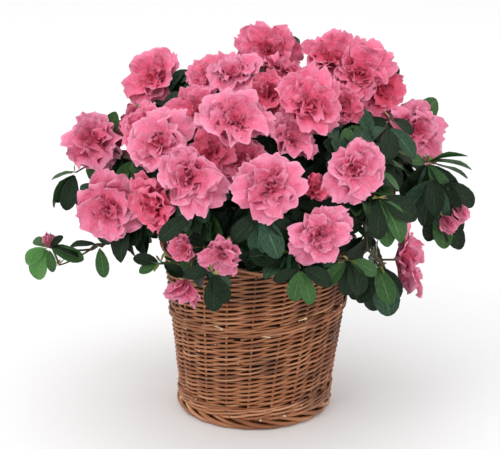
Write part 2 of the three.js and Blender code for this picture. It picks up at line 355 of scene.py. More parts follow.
def add_waling(joined, rng, bottom, rounds):
    """Adds rounds of waling, three rods that each pass in front of two stakes and behind one.

    Each round lies level and steps up to the next over its last two stakes.
    """
    for rod in range(3):
        passed = np.arange(0, rounds * STAKES + 1, 1 / WEAVER_STEPS)
        turn = STAKE_SHIFT + (passed + rod) * 2 * math.pi / STAKES
        phase = passed * 2 * math.pi / 3
        step = np.clip((passed % STAKES - STAKES + 2) / 2, 0, 1)
        level = bottom + WALE_PITCH * np.minimum(passed // STAKES + step, rounds - 1)
        level -= 0.7 * WALE_RADIUS * np.sin(phase)
        out = -WALE_SWING * (0.7 + np.cos(phase)) - WALE_RADIUS * 0.3
        path = on_wall(turn, row_height(turn, level), out)
        start = 0
        while start < len(path) - 3:
            part = path[start:start + int(WEAVER_LENGTH * WEAVER_STEPS * rng.uniform(0.5, 1.0))]
            radii = WALE_RADIUS * np.linspace(1.12, 0.92, len(part)) * rng.uniform(0.94, 1.06)
            if len(part) > 3:
                add_rod(joined, part, radii, ROD_SIDES, strip_of_willow(rng, 0.3), (0, 1))
            start += len(part) - 1


def add_butts(joined, rng, height, count, spread):
    """Adds the cut ends of rods, which stand out a little from between the stakes, some split pale."""
    for index in range(count):
        turn = STAKE_SHIFT + (index + rng.uniform(-0.35, 0.35)) * 2 * math.pi / count
        level = row_height(turn, height + rng.uniform(-spread, spread))
        reach = np.linspace(0, 1, 4)
        out = BUTT_FROM + reach ** 1.5 * rng.uniform(*BUTT_REACH)
        slope = rng.uniform(-0.001, 0.003)
        path = on_wall(turn + reach * rng.uniform(0.06, 0.15), level + slope * reach, out)
        split = 1 if rng.random() < SPLIT_BUTTS else 0
        radius = rng.uniform(0.0007, 0.0012)
        add_rod(joined, path, radius, ROD_SIDES, strip_of_willow(rng, 0.02), (split, 1))


# Painted shade: the stain is darkened in patches from about this height up and more towards +X. It
# stands in for the crown's shadow on the upper wall and for the shade on the side away from the key
# light.
PAINTED_SHADE_FROM = 0.105
PAINTED_SHADE_BY_HEIGHT = 5
PAINTED_SHADE_BY_SIDE = 4
PAINTED_SHADE_PATCHES = 3.6
PAINTED_SHADE_DEPTH = 0.8


def sheet_place(wire):
    """Where a point lies on the sheet that its finish is drawn on."""
    return wire.add("ShaderNodeUVMap", {"uv_map": SHEET})


def willow_paint(wire):
    place = sheet_place(wire)
    stretched = wire.add("ShaderNodeMapping", None, {"Vector": place, "Scale": (14.0, 420.0, 1.0)})
    grain = wire.noise(stretched, 1.0, 3.0)
    broad = wire.add("ShaderNodeMapping", None, {"Vector": place, "Scale": (3.0, 34.0, 1.0)})
    rods = wire.noise(broad, 1.0, 2.0)
    stops = [
        (0.32, colour(86, 47, 30)),
        (0.43, colour(140, 82, 48)),
        (0.54, colour(174, 114, 74)),
        (0.66, colour(212, 160, 128)),
    ]
    tone = rods * 0.75 + grain * 0.25
    stained = wire.add("ShaderNodeValToRGB", {"stops": stops}, {0: tone})
    wall = wire.own_place()
    patches = wire.noise(wall, 22.0, 2.0)
    # Painted shade: towards the top, under the crown, and towards +X, away from the key light, the stain
    # goes in patches towards a dark brown.
    rising = (wall.split("Z") - PAINTED_SHADE_FROM) * PAINTED_SHADE_BY_HEIGHT + wall.split("X") * PAINTED_SHADE_BY_SIDE
    painted_shade = wire.math("ADD", rising, (patches - 0.5) * PAINTED_SHADE_PATCHES, clamp=True)
    return {
        "Base Color": wire.mix(painted_shade * PAINTED_SHADE_DEPTH, stained, colour(66, 40, 28)),
        "Roughness": 0.42 + grain * 0.25,
        "relief": (grain, 0.0003),
    }


def cut_willow_paint(wire):
    place = sheet_place(wire)
    pith = wire.noise(place, 240.0, 2.0)
    shade = wire.mix(pith, colour(214, 186, 140), colour(240, 222, 184))
    return {"Base Color": shade, "relief": (pith, 0.0002)}


willow = new_finish("stained_willow", willow_paint)
cut_willow = new_finish("cut_willow", cut_willow_paint, roughness=0.7)
rng = random.Random(7)
weave = Joined()
randing_bottom = UPSETT_BOTTOM + (UPSETT_ROUNDS - 0.4) * WALE_PITCH
randing_top = WALE_BOTTOM + (WALE_ROUNDS - 0.4) * WALE_PITCH
add_waling(weave, rng, UPSETT_BOTTOM, UPSETT_ROUNDS)
add_randing(weave, rng, randing_bottom, WALE_BOTTOM - WALE_PITCH * 0.5)
add_waling(weave, rng, WALE_BOTTOM, WALE_ROUNDS)
add_randing(weave, rng, randing_top, rim_low.z)
add_butts(weave, rng, randing_bottom - 0.005, 13, 0.003)
add_butts(weave, rng, foot_high.z + 0.001, 19, 0.002)
add_butts(weave, rng, WALE_BOTTOM + 0.003, 11, 0.006)
for stake in range(STAKES):
    turn = STAKE_SHIFT + stake * 2 * math.pi / STAKES + np.linspace(0, rng.uniform(-0.02, 0.02), 12)
    height = np.linspace(foot_low.z + 0.004, rim_low.z + 0.004, 12)
    path = on_wall(turn, height, -WEAVER_SWING - WEAVER_RADIUS + 0.0004)
    add_rod(weave, path, STAKE_RADIUS * rng.uniform(0.92, 1.08), ROD_SIDES,
            strip_of_willow(rng, 0.15), (0, 1), (1, 0.01, 0))
basket_weave = weave.make("basket_weave", [willow, cut_willow])
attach(basket_weave, "root")
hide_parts("basket_wall")

# Basket borders. The stakes' thicker ends, laid down one over the next round the foot and the rim:
# each comes out from behind a stake, passes in front of two and is tucked in under its followers.
BORDER_ROD_RADIUS = 0.0021


def add_border(joined, rng, heights, outs):
    """Adds a border whose rods follow the given heights and distances out over three stakes."""
    for stake in range(STAKES):
        share = np.linspace(0, 1, 15)
        knots = np.linspace(0, 1, len(heights))
        turn = STAKE_SHIFT + (stake + 3.1 * share) * 2 * math.pi / STAKES
        height = np.interp(share, knots, heights) + rng.uniform(-0.0002, 0.0003)
        out = np.interp(share, knots, outs)
        path = on_wall(turn, height, out)
        path[1:-1] = (path[:-2] + 2 * path[1:-1] + path[2:]) / 4
        radii = BORDER_ROD_RADIUS * rng.uniform(0.94, 1.06) * np.linspace(1.05, 0.92, 15)
        add_rod(joined, path, radii, 8, strip_of_willow(rng, 0.08), (0, 1))


foot = Joined()
foot_rod = [0.0128, 0.0106, 0.0066, 0.0035, 0.0025, 0.0025]
add_border(foot, rng, foot_rod, [-0.0062, -0.0008, 0.0014, 0.0012, -0.0012, -0.0052])
foot_border = foot.make("foot_border_rods", [willow, cut_willow])
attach(foot_border, "root")
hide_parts("basket_foot_border")

rim = Joined()
rim_rod = [rim_high.z - depth for depth in (0.013, 0.0045, 0.0022, 0.0052, 0.0092, 0.0105)]
add_border(rim, rng, rim_rod, [-0.0072, -0.0062, -0.0022, 0.0012, -0.0006, -0.0052])
rim_border = rim.make("rim_border_rods", [willow, cut_willow])
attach(rim_border, "root")
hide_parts("basket_rim_border")

# Basket base. A flat woven disc of the same willow, its rods wound round crossed sticks. It is seen
# only from below, so its rings are a relief in the finish of the plain disc.
BASE_ROD = 0.0026


def base_paint(wire):
    place = wire.own_place()
    across, along = place.split("X"), place.split("Y")
    radius = (across * across + along * along) ** 0.5
    ring = wire.math("SINE", radius * (2 * math.pi / BASE_ROD))
    streak = wire.noise(place, 90.0, 4.0)
    tone = wire.mix(streak, colour(96, 56, 38), colour(166, 104, 66))
    return {"Base Color": tone, "Roughness": 0.5 + streak * 0.2, "relief": (ring, 0.0006)}


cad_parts["basket_base"].data.materials.clear()
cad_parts["basket_base"].data.materials.append(new_finish("base_willow", base_paint))

# Potting soil. Dark moist peat, level a little below the rim, with loose crumbs on its top.
CRUMBS = 900
CRUMB_RADIUS = (0.0012, 0.0034)


def peat_paint(wire):
    place = wire.own_place()
    lumps = wire.noise(place, 160.0, 6.0)
    fibres = wire.noise(place, 620.0, 2.0)
    tone = wire.mix(lumps, colour(14, 9, 6), colour(50, 33, 23))
    return {"Base Color": tone, "Roughness": 0.8 + fibres * 0.2, "relief": (lumps + fibres * 0.3, 0.002)}


peat = new_finish("moist_peat", peat_paint)
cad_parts["potting_soil"].data.materials.clear()
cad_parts["potting_soil"].data.materials.append(peat)


def arrays_of(bm):
    """A bmesh of four-sided faces as arrays: its vertices, faces and places on the sheet."""
    bm.verts.index_update()
    sheet = bm.loops.layers.uv.verify()
    vertices = np.array([vertex.co for vertex in bm.verts])
    faces = np.array([[vertex.index for vertex in face.verts] for face in bm.faces])
    places = np.array([[loop[sheet].uv for loop in face.loops] for face in bm.faces])
    return vertices, faces, places


def round_lump(cuts):
    """A ball of four-sided faces, of radius 1, drawn from the middle of the sheet."""
    bm = bmesh.new()
    bmesh.ops.create_cube(bm, size=2.0)
    bmesh.ops.subdivide_edges(bm, edges=bm.edges, cuts=cuts, use_grid_fill=True)
    sheet = bm.loops.layers.uv.verify()
    for vertex in bm.verts:
        vertex.co.normalize()
    for face in bm.faces:
        for loop in face.loops:
            place = loop.vert.co
            loop[sheet].uv = (0.5 + 0.3 * place.x + 0.15 * place.y, 0.5 + 0.45 * place.z)
    lump = arrays_of(bm)
    bm.free()
    return lump


soil_low, soil_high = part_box("potting_soil")
soil_radius = (soil_high.y - soil_low.y) / 2
crumbs = Joined()
lump_vertices, lump_faces, lump_places = round_lump(1)
for _ in range(CRUMBS):
    reach = soil_radius * 0.97 * math.sqrt(rng.random())
    turn = rng.uniform(0, 2 * math.pi)
    size = rng.uniform(*CRUMB_RADIUS)
    middle = np.array([
        soil_high.z * wall_lean + reach * math.cos(turn),
        reach * math.sin(turn),
        soil_high.z + size * rng.uniform(-0.4, 0.3),
    ])
    squeeze = np.array([rng.uniform(0.7, 1.3), rng.uniform(0.7, 1.3), rng.uniform(0.5, 0.9)])
    ruffled = lump_vertices * np.array([[rng.uniform(0.75, 1.2)] for _ in lump_vertices])
    crumbs.add(ruffled * squeeze * size + middle, lump_faces, lump_places, 0)
soil_crumbs = crumbs.make("soil_crumbs", [peat])
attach(soil_crumbs, "root")

# Liner. A thin brown film that keeps the peat off the willow. It stands up inside the wall to just
# under the rim, in soft folds, and goes down just inside the soil's edge below.
LINER_BEHIND = 0.0082
LINER_FOLD = 0.0003
LINER_STEPS = 96
LINER_ROWS = 8


def film_paint(wire):
    place = wire.own_place()
    folds = wire.noise(place, 120.0, 2.0)
    shade = wire.mix(folds, colour(34, 20, 16), colour(58, 38, 30))
    return {"Base Color": shade, "relief": (folds, 0.002)}


liner = Joined()
turn, height = np.meshgrid(
    np.linspace(0, 2 * math.pi, LINER_STEPS + 1),
    np.linspace(foot_high.z, rim_low.z - 0.002, LINER_ROWS + 1))
film = on_wall(turn, height, -LINER_BEHIND + LINER_FOLD * np.sin(31 * turn))
step, row = np.meshgrid(np.arange(LINER_STEPS), np.arange(LINER_ROWS))
corner = (row * (LINER_STEPS + 1) + step).ravel()
above = corner + LINER_STEPS + 1
film_faces = np.stack([corner, corner + 1, above + 1, above], axis=1)
risen = (height - height.min()) / (height.max() - height.min())
flat = np.stack([turn / (2 * math.pi), risen], axis=-1)
liner.add(film.reshape(-1, 3), film_faces, (0.02 + 0.96 * flat.reshape(-1, 2))[film_faces], 0)
liner_piece = liner.make("basket_liner", [new_finish("brown_film", film_paint, roughness=0.45)])
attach(liner_piece, "root")

# Stem and boughs. Grey-brown rough bark on a short flared stem, from which the boughs fan out: the
# plain limbs are fused into one skin, rounded, and given the bark's ridges and small knots.
BARK_VOXEL = 0.0016
BARK_SWELL = 0.0003
BARK_RIDGES = 0.0006
BARK_ROUNDINGS = 2
limb_names = ["stem"] + sorted(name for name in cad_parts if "bough_to_" in name)

bm = bmesh.new()
for name in limb_names:
    bm.from_mesh(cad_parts[name].data)
bmesh.ops.remove_doubles(bm, verts=bm.verts, dist=1e-6)
bm.normal_update()
for vertex in bm.verts:
    vertex.co += vertex.normal * BARK_SWELL
bark_mesh = bpy.data.meshes.new("bark")
bm.to_mesh(bark_mesh)
bm.free()
bark_piece = new_object("bark", bark_mesh)
fuse = bark_piece.modifiers.new("fuse", "REMESH")
fuse.mode = "VOXEL"
fuse.voxel_size = BARK_VOXEL
finished_bark = bark_piece.evaluated_get(bpy.context.evaluated_depsgraph_get())
fused = bpy.data.meshes.new_from_object(finished_bark)
bark_piece.modifiers.clear()
bm = bmesh.new()
bm.from_mesh(fused)
for _ in range(BARK_ROUNDINGS):
    bmesh.ops.smooth_vert(
        bm, verts=bm.verts, factor=0.5, use_axis_x=True, use_axis_y=True, use_axis_z=True)
bm.normal_update()
for vertex in bm.verts:
    ridges = noise.noise(vertex.co * 260) + 0.6 * noise.noise(vertex.co * 620)
    vertex.co += vertex.normal * BARK_RIDGES * ridges
bm.to_mesh(bark_mesh)
bm.free()
bark_mesh.shade_smooth()


def bark_paint(wire):
    place = wire.own_place()
    flakes = wire.noise(place, 230.0, 5.0)
    patches = wire.noise(place, 38.0, 3.0)
    dark = wire.mix(flakes, colour(52, 38, 29), colour(120, 98, 78))
    tone = wire.mix(patches * 0.5, dark, colour(92, 88, 66))
    return {"Base Color": tone, "Roughness": 0.75 + flakes * 0.2, "relief": (flakes, 0.0008)}


bark_mesh.materials.clear()
bark = new_finish("azalea_bark", bark_paint)
bark_mesh.materials.append(bark)
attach(bark_piece, "root")
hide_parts(*limb_names)

# Growth. The crown is open heads of shoots, one head to each mass. Every shoot ends in a flower, in a
# bud or in leaves. The flowers of the front and a few on top stand at chosen places. The others stand
# wherever there is room, with few of them low down and none on the thin leafy sprays.
HEART_ABOVE_RIM = 0.037
FLOWER_RADIUS = 0.0385
FLOWER_DEPTH = 0.014
FLOWERS_APART = 0.047
FILLING_PLACES = 110
TYPICAL_REACH = 0.16
BARE_TURN = 108  # up to this turn from the front, and above the lift below, all flowers are chosen
BARE_LIFT = 60
SHOOTS = 24
LEAFY_SHOOTS = 9
LOWEST_TIP = 0.028  # above the rim
INNER_SHOOTS = 0.68
INNER_DEPTH = (0.038, 0.066)
OUTER_DEPTH = (0.027, 0.038)
TOP_DEEPER = 0.014
TIPS_APART = 0.03
TIP_TO_FLOWER = 0.024
STALK_LENGTH = 0.022
GOLDEN_DEGREES = 137.508
GOLDEN_RADIANS = 2.39996
ASLANT_SINKS = 0.85  # share of its radius by which a flower that looks aside is sunk
BUD_OPENING = 0.4  # flowers less open than this are buds
FACE_CLEAR = 0.045  # how far in front of an open flower no leaf may stand
UP = Vector((0, 0, 1))
LEAFY_MASSES = ["left_arm_spray", "right_tuft", "lower_right_spray"]
heart = Vector((rim_high.z * wall_lean, 0, rim_high.z + HEART_ABOVE_RIM))
other_names = [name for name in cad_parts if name.startswith("basket_")] + ["potting_soil"]
mass_names = sorted(set(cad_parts) - set(limb_names) - set(other_names))

# The chosen flowers: turn about the plant, 0 at the front and 90 at the right, and lift, both from the
# crown's heart; the turn and lift of the way it looks; its size against the usual one; how far it
# stands out in millimetres; its tint, 0 being the palest; and, if it is not fully open, how far.
# The tints are partly painted light and shade: paler on flowers in the light, deeper on flowers in
# shade.
CHOSEN_FLOWERS = [
    (-101, 47.6, -35, 35, 0.96, 4, 1), (-55, 67, -30, 45, 0.88, -5, 1), (-27, 68, -10, 55, 0.78, -8, 0),
    (168, 69, 5, 30, 0.9, 5, 1), (70, 78, 0, 45, 0.7, -22, 2, 0.9), (123, 58, 10, 55, 1.0, -1, 1),
    (62, 60, 15, 35, 0.75, -12, 2), (100, 51, 15, 28, 0.98, 3, 1), (103, 40, 35, 20, 0.8, 5, 2),
    (62, 50, 20, 20, 0.62, -9, 2), (27, 50, 18, 38, 1.0, 0, 1), (8, 62, 5, 38, 0.72, -8, 2),
    (-10, 43, 0, 45, 1.08, 0, 0), (-41, 32, -22, 28, 1.05, -1, 0), (-64, 36, -40, 35, 0.72, -8, 1),
    (-22, 33, -18, 30, 0.72, -9, 2), (-40, 51, -20, 42, 0.85, -1, 1), (-93, 19.8, -24, 13, 1.03, 2, 0),
    (-96, 32, -45, 30, 0.9, -3, 2), (-23, 22, -5, 12, 0.97, 0, 0), (-56, 6, -12, 0, 1.04, 5, 0),
    (-41, 10.6, -45, -5, 0.86, -6, 2), (3.0, 20.5, 8, 15, 0.96, 0, 0), (-8, 31, -15, 25, 0.76, -10, 1),
    (17, 39, 25, 40, 0.8, 0, 0), (32.7, 24.0, 18, 15, 0.99, 0, 0), (97, 22.8, 22, 14, 0.97, 5, 0),
    (19.3, 4.8, 12, 5, 0.82, 0, 0), (-12.5, -1.5, -5, -10, 0.62, -4, 0),
    (-25, 0, -40, 10, 0.44, -6, 1, 0.8), (20, 20, 30, 30, 0.5, -18, 3, 0.7),
    (-27, -16, -35, -60, 0.72, 4, 0, 0.45), (-84, -8, -60, 70, 0.4, 60, 0, 0.12),
    (81, -4, 70, -50, 0.5, -12, 0, 0.14), (86, -2, 70, -50, 0.56, -6, 0, 0.12),
    (76, -13.7, 74, 6, 1.15, 18, 0, 0.75), (128, 74, 110, 70, 0.8, -30, 1),
    (-160, 70, -160, 60, 0.8, -34, 0), (170, 52, 165, 50, 0.82, -14, 1),
    (-122, 66, -135, 58, 0.8, -26, 1),
]


# The chosen leafy shoots: turn and lift of the tip, how far it stands out in millimetres, and its
# leaves, each with the turn and lift in which it grows, its length, its tint and, where it does not
# lie open to the front, the lift of its upper side. The last number is how many small scales it has.
# The darkest tint, 0, is partly painted shade on leaves that lie in shade, and the bluish tint, 2,
# is painted sheen.
CHOSEN_SHOOTS = {
    "left arm": (-83, -11, -10, [
        (-98, -30, 30, 3), (-84, -60, 38, 3), (20, -60, 22, 1), (80, -16, 34, 1), (75, 4, 28, 0, 80),
        (60, 42, 18, 0), (-120, 20, 20, 1),
    ], 4),
    "left arm stalk": (-77, -12, 2, [
        (30, -72, 30, 1), (-80, 10, 26, 0, 80),
    ], 0),
    "left whorl": (-90, 9, -2, [
        (-88, -38, 38, 1, 100), (-76, -52, 34, 0), (-100, -10, 24, 1, 80), (-30, -60, 36, 0),
    ], 2),
    "left skirt": (-84, 0, -22, [
        (-80, -60, 34, 0), (-40, -78, 40, 0), (-100, -20, 30, 1), (20, -60, 36, 0), (-70, 20, 26, 1),
        (160, -40, 36, 0),
    ], 2),
    "left foot": (-40, -10, -10, [
        (-88, 12, 24, 0), (-75, -18, 20, 1), (60, -20, 22, 0),
    ], 3),
    "right whorl": (88, 14, -11, [
        (10, -74, 50, 2, 10), (-60, -64, 50, 0), (85, 6, 42, 1, 100), (95, -14, 42, 1, 110),
        (70, -56, 44, 1, 60), (92, -50, 52, 0), (88, 20, 38, 1, 110), (-40, 20, 26, 1),
    ], 8),
    "right whorl behind": (82, 10, -26, [
        (-30, -70, 46, 0), (40, -72, 48, 2), (80, -66, 46, 0), (0, -30, 40, 0), (-70, -50, 44, 2),
    ], 0),
    "right tail": (88, 7, -20, [
        (70, -74, 38, 0), (94, -42, 38, 0), (20, -60, 40, 0), (150, -50, 34, 0),
    ], 0),
    "right lower whorl": (87, -1, -38, [
        (20, -66, 40, 1), (64, -58, 46, 0), (92, -44, 36, 0), (-40, -60, 34, 0), (80, -80, 40, 0),
        (160, -40, 40, 0),
    ], 3),
    "hanging whorl": (56, -17, -44, [
        (-50, -54, 38, 0), (-10, -76, 46, 0), (60, -70, 52, 2), (-80, 6, 30, 0), (-75, -50, 40, 0),
        (30, -50, 38, 1), (78, -52, 42, 0),
    ], 3),
    "under right flower": (40, 14, -8, [
        (60, -42, 44, 1, 70), (40, -66, 44, 1, 60), (80, -20, 40, 0), (0, -50, 36, 0),
    ], 2),
    "right shoulder": (64, 34, -16, [
        (-60, -14, 42, 2, 75), (60, -34, 36, 2, 60), (0, -30, 40, 0),
    ], 0),
    "far right shoulder": (85, 34, -20, [
        (-20, -40, 36, 0), (40, 0, 28, 0, 80), (-70, -10, 30, 0), (160, 0, 36, 0),
    ], 2),
    "under left flower": (-22, 12, -12, [
        (-6, -72, 38, 2), (-60, -30, 36, 0), (50, -50, 38, 0),
    ], 0),
    "under front flower": (0, 13, -20, [
        (-12, -72, 38, 2), (46, -58, 42, 2), (80, -30, 36, 0), (-70, -40, 34, 0),
    ], 0),
    "dark middle": (-9, 9, -42, [
        (-50, -60, 42, 0), (30, -64, 42, 0), (0, -14, 40, 0), (-85, -10, 36, 0), (80, -16, 38, 0),
        (0, 60, 36, 0),
    ], 0),
    "low front": (12, -4, -6, [
        (-40, -72, 30, 1), (50, -66, 32, 1), (-76, -20, 24, 0), (80, -20, 30, 0),
    ], 0),
    "low left": (-14, -5, -2, [
        (10, -76, 34, 0), (60, -56, 28, 0), (-80, 4, 24, 0), (120, -10, 26, 0),
    ], 2),
    "low right": (31, -6, 0, [
        (-10, -74, 32, 0), (60, -60, 34, 0), (-70, -40, 30, 1), (90, -20, 30, 1),
    ], 2),
    "shoulder left": (-75, 42, -6, [
        (60, 10, 36, 0), (20, -30, 40, 2, 70), (-60, -20, 34, 0), (140, 0, 34, 0),
    ], 3),
}


def toward(turn, lift):
    """The direction at a turn about the plant, 0 at the front and 90 at the right, and a lift."""
    turn, lift = math.radians(turn), math.radians(lift)
    return Vector((math.sin(turn) * math.cos(lift), -math.cos(turn) * math.cos(lift), math.sin(lift)))


class Mass:
    """A mass of foliage: its middle, its own three directions and its half sizes along them."""

    def __init__(self, name):
        points = np.array([vertex.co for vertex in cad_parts[name].data.vertices])
        low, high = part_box(name)
        self.outward = ((low + high) / 2 - heart).normalized()
        self.across = UP.cross(self.outward).normalized()
        self.upward = self.outward.cross(self.across)
        self.half = []
        self.middle = Vector((0, 0, 0))
        for direction in (self.across, self.upward, self.outward):
            reach = points @ np.array(direction)
            self.half.append((reach.max() - reach.min()) / 2)
            self.middle += direction * (reach.max() + reach.min()) / 2
        self.hub = self.middle - self.outward * self.half[2] * 0.5

    def place(self, across, up, depth=0.0):
        """The place on the mass's outer face at shares of its half sizes, sunk in by a depth."""
        rise = math.sqrt(max(0.0, 1 - across ** 2 - up ** 2))
        point = self.middle + self.across * (across * self.half[0])
        point += self.upward * (up * self.half[1]) + self.outward * (rise * self.half[2])
        return point - self.facing(across, up) * depth

    def facing(self, across, up):
        """The direction in which the mass's outer face looks at such a place."""
        rise = math.sqrt(max(0.05, 1 - across ** 2 - up ** 2))
        normal = self.across * (across / self.half[0]) + self.upward * (up / self.half[1])
        return (normal + self.outward * (rise / self.half[2])).normalized()


def spread_places(rng, count):
    """Places all over a mass's outer face, as shares across and up."""
    for index in range(count):
        reach = math.sqrt((index + 0.5) / count) * 0.95
        turn = index * GOLDEN_RADIANS + rng.uniform(-0.3, 0.3)
        yield reach * math.cos(turn), reach * math.sin(turn)


corners, faces, owners = [], [], []
for name in mass_names:
    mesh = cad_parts[name].data
    faces += [[len(corners) + index for index in polygon.vertices] for polygon in mesh.polygons]
    owners += [name] * len(mesh.polygons)
    corners += [vertex.co.copy() for vertex in mesh.vertices]
crown = BVHTree.FromPolygons(corners, faces)


def crown_face(direction):
    """Where the crown's face lies in a direction from its heart, and the mass that it is part of."""
    spot, _, face, _ = crown.ray_cast(heart + direction, -direction)
    if spot is None or (spot - heart).dot(direction) < 0:
        spot, _, face, _ = crown.find_nearest(heart + direction * TYPICAL_REACH)
    return spot, owners[face]


masses = {name: Mass(name) for name in mass_names}
rng = random.Random(5)
flowers = []
for turn, lift, look_turn, look_lift, size, out, tint, *opening in CHOSEN_FLOWERS:
    direction, facing = toward(turn, lift), toward(look_turn, look_lift)
    spot, name = crown_face(direction)
    aslant = direction.cross(facing).length
    spot -= direction * (FLOWER_RADIUS * size * aslant * ASLANT_SINKS - out / 1000)
    throat = spot - facing * FLOWER_DEPTH * size
    flowers.append({"mass": name, "throat": throat, "facing": facing,
                    "radius": FLOWER_RADIUS * size, "tint": tint,
                    "opening": opening[0] if opening else 1.0})
lone_flower = next(flower for flower in flowers if flower["mass"] == "lower_right_spray")
for index in range(FILLING_PLACES):
    lift = math.degrees(math.asin(0.98 - 1.25 * (index + 0.5) / FILLING_PLACES))
    direction = toward(index * GOLDEN_DEGREES + rng.uniform(-6, 6), lift + rng.uniform(-4, 4))
    spot, name = crown_face(direction)
    facing = (direction + UP * rng.uniform(0, 0.35)).normalized()
    size = rng.uniform(0.78, 0.98)
    spot -= direction * 0.012 * max(0, lift / 30)
    tint = rng.choice([0, 0, 1, 1, 2])
    turn = (index * GOLDEN_DEGREES + 180) % 360 - 180
    sparse = lift < 2 and rng.random() < 0.65
    if abs(turn) < BARE_TURN or lift > BARE_LIFT or name in LEAFY_MASSES or sparse:
        continue
    throat = spot - facing * FLOWER_DEPTH * size
    if all((throat - other["throat"]).length > FLOWERS_APART for other in flowers):
        flowers.append({"mass": name, "throat": throat, "facing": facing,
                        "radius": FLOWER_RADIUS * size, "tint": tint, "opening": 1.0})

open_faces = [(flower["throat"], flower["facing"], flower["radius"], FACE_CLEAR)
              for flower in flowers if flower["opening"] > BUD_OPENING]
# A wider and deeper space stays clear in front of the lone flower that hangs low at the right.
open_faces.append((lone_flower["throat"] + toward(90, 0) * 0.018, toward(10, 12), 0.042, 0.16))
flower_throats, flower_facings, flower_radii, flower_clears = (
    np.array(part) for part in zip(*open_faces))


def clear_of_flowers(points, share=0.8):
    """Whether points lie clear of the space in front of every open flower, for a share of its radius."""
    away = points[:, None] - flower_throats
    depth = (away * flower_facings).sum(axis=2)
    aside = np.linalg.norm(away - depth[..., None] * flower_facings, axis=2)
    before = (depth > flower_radii * 0.1) & (depth < flower_clears)
    return not (before & (aside < flower_radii * share)).any()


shoots = []
for turn, lift, out, own_leaves, scales in CHOSEN_SHOOTS.values():
    direction = toward(turn, lift)
    spot, name = crown_face(direction)
    shoots.append({"mass": name, "tip": spot + direction * out / 1000,
                   "facing": (direction + UP).normalized(), "leaves": own_leaves, "scales": scales})
chosen_tips = [shoot["tip"] for shoot in shoots]
lowest_tip = rim_high.z + LOWEST_TIP
for name in sorted(set(mass_names) - {"left_arm_spray"}):
    mass = masses[name]
    deeper = TOP_DEEPER if name.startswith("crown_top") else 0.0
    for across, up in spread_places(rng, LEAFY_SHOOTS if name in LEAFY_MASSES else SHOOTS):
        facing = (mass.facing(across, up) * 0.6 + UP * 0.35).normalized()
        inner = name in LEAFY_MASSES or rng.random() < INNER_SHOOTS
        depth = rng.uniform(*(INNER_DEPTH if inner else OUTER_DEPTH))
        tip = mass.place(across, up, depth + deeper)
        crowded = any((tip - other).length < TIPS_APART for other in chosen_tips)
        covered = any((tip - other["throat"]).length < TIP_TO_FLOWER for other in flowers)
        if crowded or covered or tip.z < lowest_tip:
            continue
        if clear_of_flowers(np.array([tip, tip + facing * 0.012])):
            scales = 0 if inner else rng.choice([0, 3, 5])
            shoots.append({"mass": name, "tip": tip, "facing": facing, "scales": scales, "inner": inner})
for flower in flowers:
    tip = flower["throat"] - flower["facing"] * STALK_LENGTH
    shoots.append({"mass": flower["mass"], "tip": tip, "facing": flower["facing"],
                   "flower": flower, "scales": 5})

# Twigs. From the end of each bough a main twig grows on into its mass and parts into shoots, which
# curve out to the crown's face. A mass with no bough is reached from the nearest bough's end.
MAIN_TWIG_RADIUS = (0.0024, 0.0014)
SHOOT_RADIUS = (0.0012, 0.0008)
TWIG_POINTS = 7
TWIG_PATCH = (0.1, 0.1, 0.8, 0.8)
TWIG_REFERENCE = (0.3, 0.5, 0.81)  # the rings of points round a twig start square to this direction


def bough_end(name):
    """The middle of the cut end of a bough, the end that is further from the stem."""
    points = [vertex.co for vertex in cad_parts[name].data.vertices]
    stem_low, stem_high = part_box("stem")
    stem_middle = (stem_low + stem_high) / 2
    furthest = max(points, key=lambda point: (point - stem_middle).length)
    near = [point for point in points if (point - furthest).length < 0.008]
    return sum(near, Vector()) / len(near)


def bent(start, bend, end, steps):
    """Points on a curve from start to end that leaves towards the bend."""
    share = np.linspace(0, 1, steps)[:, None]
    start, bend, end = np.array(start), np.array(bend), np.array(end)
    return (1 - share) ** 2 * start + 2 * share * (1 - share) * bend + share ** 2 * end


def add_twig(joined, path, radii, sides):
    """Adds a twig or stalk, all in one finish."""
    add_rod(joined, path, radii, sides, TWIG_PATCH, (0, 0), TWIG_REFERENCE)


def twig_paint(wire):
    place = wire.own_place()
    rough = wire.noise(place, 420.0, 3.0)
    lengths = wire.noise(place, 30.0, 1.0)
    old = wire.mix(rough, colour(50, 38, 27), colour(88, 70, 50))
    tone = wire.mix(lengths, old, colour(66, 68, 40))
    return {"Base Color": tone, "Roughness": 0.6 + rough * 0.2, "relief": (rough, 0.0003)}


bough_ends = {name.split("bough_to_")[1]: bough_end(name) for name in limb_names[1:]}
rng = random.Random(21)
twigs = Joined()
for name, mass in masses.items():
    root = bough_ends.get(name)
    if root is None:
        root = min(bough_ends.values(), key=lambda end: (end - mass.hub).length)
    halfway = root.lerp(mass.hub, 0.5) + Vector([rng.uniform(-0.008, 0.008) for _ in range(3)])
    path = bent(root, halfway, mass.hub, TWIG_POINTS)
    add_twig(twigs, path, np.linspace(*MAIN_TWIG_RADIUS, TWIG_POINTS), 6)
for shoot in shoots:
    mass, tip, facing = masses[shoot["mass"]], shoot["tip"], shoot["facing"]
    bend = mass.hub.lerp(tip, 0.5) + mass.outward * 0.006 - facing * 0.004
    shoot["path"] = bent(mass.hub, bend, tip, TWIG_POINTS)
    add_twig(twigs, shoot["path"], np.linspace(*SHOOT_RADIUS, TWIG_POINTS), 4)
twig_piece = twigs.make("twigs", [new_finish("young_bark", twig_paint)])
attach(twig_piece, "root")

# Blossom. Double azalea flowers: broad outer petals with wavy edges, then smaller and more crumpled
# ones that stand up round a deep rose throat. Every petal is a thin sheet, paler towards its edge.
FLOWER_KINDS = 12
TINTS_EACH_WAY = 2  # four tints share the sheet
SHEET_MARGIN = 0.04
PETAL_STEPS = 40
PETAL_BEND = 0.6
